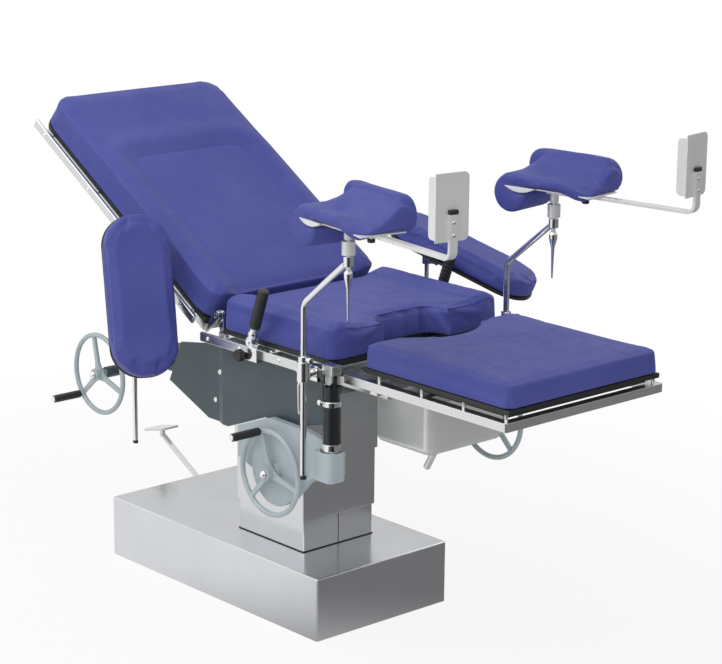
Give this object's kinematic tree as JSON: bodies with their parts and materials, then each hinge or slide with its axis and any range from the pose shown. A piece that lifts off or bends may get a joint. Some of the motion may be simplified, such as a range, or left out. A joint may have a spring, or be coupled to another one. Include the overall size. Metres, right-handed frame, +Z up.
{
  "type": "obstetric operating table",
  "caption": "Operating table with a pedestal base, telescoping column, raised back section, sliding foot section, drain pan, leg rests, arm boards and cranked handwheels.",
  "frame": {"origin": "centre of the base's underside, on the floor", "axes": "+X to the foot end, +Y to the side away from the tilt handwheel, +Z up"},
  "size_m": [1.8853, 1.1158, 1.377],
  "materials": {
    "satin_steel": "satin brushed stainless sheet",
    "bright_steel": "polished",
    "frame_steel": "satin",
    "dark_enamel": "satin dark grey paint",
    "grey_casting": "light grey enamel over casting",
    "black_board": "matte black",
    "black_grip": "soft matte",
    "black_tube": "semi gloss black",
    "blue_vinyl": "blue leatherette with soft sheen",
    "dark_steel": "oiled"
  },
  "bodies": {
    "base": {"base_plate": "satin_steel", "base_cover": "satin_steel", "lower_column_cover": "satin_steel", "hydraulic_unit": "dark_steel"},
    "middle_cover": {"middle_column_cover": "satin_steel"},
    "lift": {"column_head": "satin_steel", "lift_ram": "dark_steel", "tilt_gear_housing": "grey_casting"},
    "strut_foot": {"strut_lower": "black_tube"},
    "strut_clamp": {"strut_knob": "bright_steel"},
    "strut_rod": {"strut_upper": "black_tube"},
    "tabletop": {"side_plates": "dark_enamel", "seat_frame": "frame_steel", "seat_rails": "bright_steel", "seat_board": "black_board", "seat_cushion": "blue_vinyl", "back_drive_housing": "dark_enamel", "foot_drive_housing": "grey_casting", "accessory_clamps": "bright_steel", "leg_clamps": "bright_steel"},
    "back": {"back_frame": "frame_steel", "back_board": "black_board", "back_rails": "bright_steel", "back_cushion": "blue_vinyl", "arm_clamp_near": "bright_steel"},
    "lead_screw": {"back_screw": "dark_steel"},
    "lead_nut": {"back_nut": "dark_steel"},
    "foot_section": {"foot_frame": "bright_steel", "foot_board": "black_board", "foot_cushion": "blue_vinyl"},
    "pan": {"waste_pan": "satin_steel"},
    "tilt_wheel": {"tilt_handwheel": "grey_casting"},
    "tilt_grip": {"tilt_wheel_grip": "black_grip"},
    "back_wheel": {"back_handwheel": "grey_casting"},
    "back_grip": {"back_wheel_grip": "black_grip"},
    "foot_wheel": {"foot_handwheel": "grey_casting"},
    "foot_grip": {"foot_wheel_grip": "black_grip"},
    "pedal": {"pump_pedal": "bright_steel"},
    "leg_lever_near": {"leg_clamp_lever_near": "bright_steel"},
    "leg_swivel_near": {"leg_collar_near": "bright_steel"},
    "leg_post_body_near": {"leg_post_near": "bright_steel"},
    "leg_lock_near": {"leg_lock_lever_near": "bright_steel"},
    "calf_rest_near": {"calf_shell_near": "bright_steel", "calf_pad_near": "blue_vinyl"},
    "foot_rest_near": {"foot_bar_near": "bright_steel"},
    "arm_post_body_near": {"arm_bracket_near": "bright_steel"},
    "arm_rest_near": {"arm_board_near": "blue_vinyl"},
    "hand_grip_body_near": {"hand_grip_near": "black_grip"},
    "knob_body_near": {"grip_knob_near": "black_grip"},
    "leg_lever_far": {"leg_clamp_lever_far": "bright_steel"},
    "leg_swivel_far": {"leg_collar_far": "bright_steel"},
    "leg_post_body_far": {"leg_post_far": "bright_steel"},
    "leg_lock_far": {"leg_lock_lever_far": "bright_steel"},
    "calf_rest_far": {"calf_shell_far": "bright_steel", "calf_pad_far": "blue_vinyl"},
    "foot_rest_far": {"foot_bar_far": "bright_steel"},
    "arm_post_body_far": {"arm_bracket_far": "bright_steel"},
    "arm_rest_far": {"arm_board_far": "blue_vinyl"},
    "hand_grip_body_far": {"hand_grip_far": "black_grip"},
    "knob_body_far": {"grip_knob_far": "black_grip"}
  },
  "joints": [
    {"name": "column_lift", "type": "slide", "parent": "base", "child": "lift", "axis": [0, 0, 1], "range_m": [-0.085, 0.165]},
    {"name": "middle_cover_slide", "type": "slide", "parent": "base", "child": "middle_cover", "axis": [0, 0, 1], "range_m": [-0.0425, 0.0825]},
    {"name": "table_tilt", "type": "hinge", "parent": "lift", "child": "tabletop", "pos_m": [0.1325, 0, 0.64], "axis": [0, 1, 0], "range_deg": [-10, 6]},
    {"name": "tilt_handwheel_turn", "type": "hinge", "parent": "lift", "child": "tilt_wheel", "pos_m": [0.358, -0.316, 0.462], "axis": [0, 1, 0], "continuous": true},
    {"name": "strut_foot_pivot", "type": "hinge", "parent": "lift", "child": "strut_foot", "pos_m": [0.588, -0.305, 0.53], "axis": [0, 1, 0], "range_deg": [-5.5, 3.5]},
    {"name": "strut_clamp_turn", "type": "hinge", "parent": "strut_foot", "child": "strut_clamp", "pos_m": [0.55, -0.305, 0.692], "axis": [1, 0, 0], "continuous": true},
    {"name": "strut_top_pivot", "type": "hinge", "parent": "tabletop", "child": "strut_rod", "pos_m": [0.588, -0.305, 0.76], "axis": [0, 1, 0], "range_deg": [-3, 5]},
    {"name": "back_raise", "type": "hinge", "parent": "tabletop", "child": "back", "pos_m": [0.1, 0, 0.83], "axis": [0, 1, 0], "range_deg": [-36, 28]},
    {"name": "back_handwheel_turn", "type": "hinge", "parent": "tabletop", "child": "back_wheel", "pos_m": [-0.43, -0.29, 0.558], "axis": [0, 1, 0], "continuous": true},
    {"name": "lead_screw_turn", "type": "hinge", "parent": "tabletop", "child": "lead_screw", "pos_m": [0, 0, 0.705], "axis": [1, 0, 0], "continuous": true},
    {"name": "lead_nut_slide", "type": "slide", "parent": "tabletop", "child": "lead_nut", "axis": [1, 0, 0], "range_m": [-0.0675, 0.087]},
    {"name": "foot_section_slide", "type": "slide", "parent": "tabletop", "child": "foot_section", "axis": [1, 0, 0], "range_m": [-0.05, 0.14]},
    {"name": "foot_handwheel_turn", "type": "hinge", "parent": "tabletop", "child": "foot_wheel", "pos_m": [0.551, 0.3, 0.541], "axis": [0, 1, 0], "continuous": true},
    {"name": "waste_pan_slide", "type": "slide", "parent": "foot_section", "child": "pan", "axis": [1, 0, 0], "range_m": [0, 0.28]},
    {"name": "tilt_grip_spin", "type": "hinge", "parent": "tilt_wheel", "child": "tilt_grip", "pos_m": [0.32525, -0.316, 0.56911], "axis": [0, 1, 0], "continuous": true},
    {"name": "back_grip_spin", "type": "hinge", "parent": "back_wheel", "child": "back_grip", "pos_m": [-0.51323, -0.29, 0.48306], "axis": [0, 1, 0], "continuous": true},
    {"name": "foot_grip_spin", "type": "hinge", "parent": "foot_wheel", "child": "foot_grip", "pos_m": [0.57999, 0.3, 0.64918], "axis": [0, 1, 0], "continuous": true},
    {"name": "pump_pedal_press", "type": "hinge", "parent": "base", "child": "pedal", "pos_m": [-0.395, 0.1, 0.107], "axis": [0, 1, 0], "range_deg": [-25, 0], "stiffness_Nm_per_rad": 14, "springref_deg": 22.92},
    {"name": "leg_clamp_lever_turn_near", "type": "hinge", "parent": "tabletop", "child": "leg_lever_near", "pos_m": [0.49, -0.328, 0.7705], "axis": [1, 0, 0], "range_deg": [-170, 20]},
    {"name": "leg_post_swivel_near", "type": "hinge", "parent": "tabletop", "child": "leg_swivel_near", "pos_m": [0.54, -0.358, 0.8], "axis": [0, 0, 1], "range_deg": [-45, 60]},
    {"name": "leg_post_height_near", "type": "slide", "parent": "leg_swivel_near", "child": "leg_post_body_near", "axis": [0, 0, 1], "range_m": [-0.05, 0.15]},
    {"name": "leg_lock_turn_near", "type": "hinge", "parent": "leg_post_body_near", "child": "leg_lock_near", "pos_m": [0.705, -0.358, 1.05], "axis": [0, 0, 1], "continuous": true},
    {"name": "calf_rest_swivel_near", "type": "hinge", "parent": "leg_post_body_near", "child": "calf_rest_near", "pos_m": [0.705, -0.358, 1.1], "axis": [0, 0, 1], "range_deg": [-70, 70]},
    {"name": "foot_rest_reach_near", "type": "slide", "parent": "calf_rest_near", "child": "foot_rest_near", "axis": [0.989, -0.1478, 0], "range_m": [-0.06, 0.05]},
    {"name": "arm_post_swivel_near", "type": "hinge", "parent": "back", "child": "arm_post_body_near", "pos_m": [-0.146, -0.375, 0.919], "axis": [0, 0, 1], "range_deg": [-40, 0]},
    {"name": "arm_board_tilt_near", "type": "hinge", "parent": "arm_post_body_near", "child": "arm_rest_near", "pos_m": [-0.11881, -0.38768, 0.919], "axis": [0.4226, 0.9063, 0], "range_deg": [-4, 8]},
    {"name": "hand_grip_lean_near", "type": "hinge", "parent": "tabletop", "child": "hand_grip_body_near", "pos_m": [0.3, -0.331, 0.806], "axis": [0, 1, 0], "range_deg": [-30, 30]},
    {"name": "grip_knob_turn_near", "type": "hinge", "parent": "tabletop", "child": "knob_body_near", "pos_m": [0.262, -0.331, 0.7625], "axis": [0, 1, 0], "continuous": true},
    {"name": "leg_clamp_lever_turn_far", "type": "hinge", "parent": "tabletop", "child": "leg_lever_far", "pos_m": [0.49, 0.328, 0.7705], "axis": [1, 0, 0], "range_deg": [-20, 170]},
    {"name": "leg_post_swivel_far", "type": "hinge", "parent": "tabletop", "child": "leg_swivel_far", "pos_m": [0.54, 0.358, 0.8], "axis": [0, 0, 1], "range_deg": [-60, 45]},
    {"name": "leg_post_height_far", "type": "slide", "parent": "leg_swivel_far", "child": "leg_post_body_far", "axis": [0, 0, 1], "range_m": [-0.05, 0.15]},
    {"name": "leg_lock_turn_far", "type": "hinge", "parent": "leg_post_body_far", "child": "leg_lock_far", "pos_m": [0.705, 0.358, 1.05], "axis": [0, 0, 1], "continuous": true},
    {"name": "calf_rest_swivel_far", "type": "hinge", "parent": "leg_post_body_far", "child": "calf_rest_far", "pos_m": [0.705, 0.358, 1.1], "axis": [0, 0, 1], "range_deg": [-70, 70]},
    {"name": "foot_rest_reach_far", "type": "slide", "parent": "calf_rest_far", "child": "foot_rest_far", "axis": [0.989, 0.1478, 0], "range_m": [-0.06, 0.05]},
    {"name": "arm_post_swivel_far", "type": "hinge", "parent": "tabletop", "child": "arm_post_body_far", "pos_m": [0.196, 0.388, 0.903], "axis": [0, 0, 1], "range_deg": [-2, 40]},
    {"name": "arm_board_tilt_far", "type": "hinge", "parent": "arm_post_body_far", "child": "arm_rest_far", "pos_m": [0.22273, 0.40162, 0.903], "axis": [-0.454, 0.891, 0], "range_deg": [-15, 20]},
    {"name": "hand_grip_lean_far", "type": "hinge", "parent": "tabletop", "child": "hand_grip_body_far", "pos_m": [0.3, 0.331, 0.806], "axis": [0, 1, 0], "range_deg": [-4, 30]},
    {"name": "grip_knob_turn_far", "type": "hinge", "parent": "tabletop", "child": "knob_body_far", "pos_m": [0.262, 0.331, 0.7625], "axis": [0, 1, 0], "continuous": true}
  ],
  "couplings": [
    {"joint": "middle_cover_slide", "follows": "column_lift", "ratio": 0.5},
    {"joint": "tilt_handwheel_turn", "follows": "table_tilt", "ratio": 40},
    {"joint": "strut_foot_pivot", "follows": "table_tilt", "ratio": 0.525},
    {"joint": "strut_top_pivot", "follows": "table_tilt", "ratio": -0.475},
    {"joint": "back_handwheel_turn", "follows": "back_raise", "ratio": 38},
    {"joint": "lead_screw_turn", "follows": "back_raise", "ratio": 38},
    {"joint": "lead_nut_slide", "follows": "back_raise", "m_per_rad": -0.138},
    {"joint": "foot_handwheel_turn", "follows": "foot_section_slide", "rad_per_m": 69}
  ]
}
